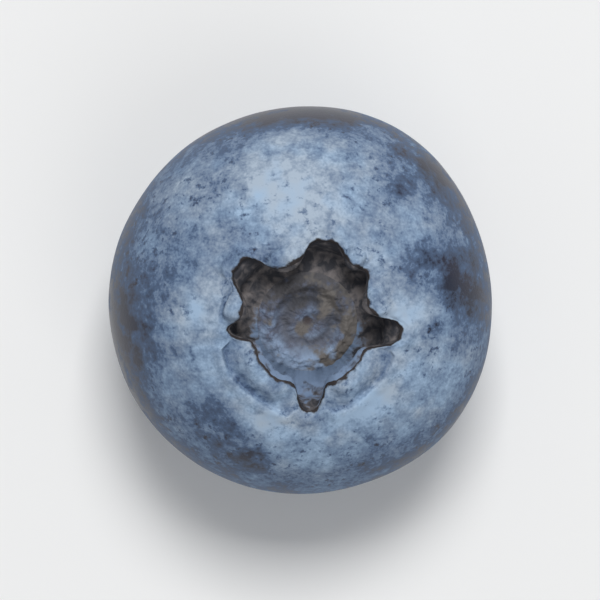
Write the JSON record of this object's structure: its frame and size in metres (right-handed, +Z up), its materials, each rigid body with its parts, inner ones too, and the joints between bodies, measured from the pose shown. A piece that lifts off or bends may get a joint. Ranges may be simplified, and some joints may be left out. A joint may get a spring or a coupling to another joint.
{
  "type": "blueberry",
  "caption": "Whole ripe blueberry: a round, slightly flattened fruit with an open star-shaped crown on top, resting on its stem end.",
  "frame": {"origin": "middle of the berry's outline seen from above, on the surface that it rests on", "axes": "+Z up from the stem end to the crown; +X is the right of the picture and +Y its top, as the berry is seen from straight above"},
  "size_m": [0.0154, 0.0156, 0.0127],
  "materials": {
    "bloomed_skin": null
  },
  "bodies": {
    "root": {"berry": "bloomed_skin"}
  },
  "joints": []
}
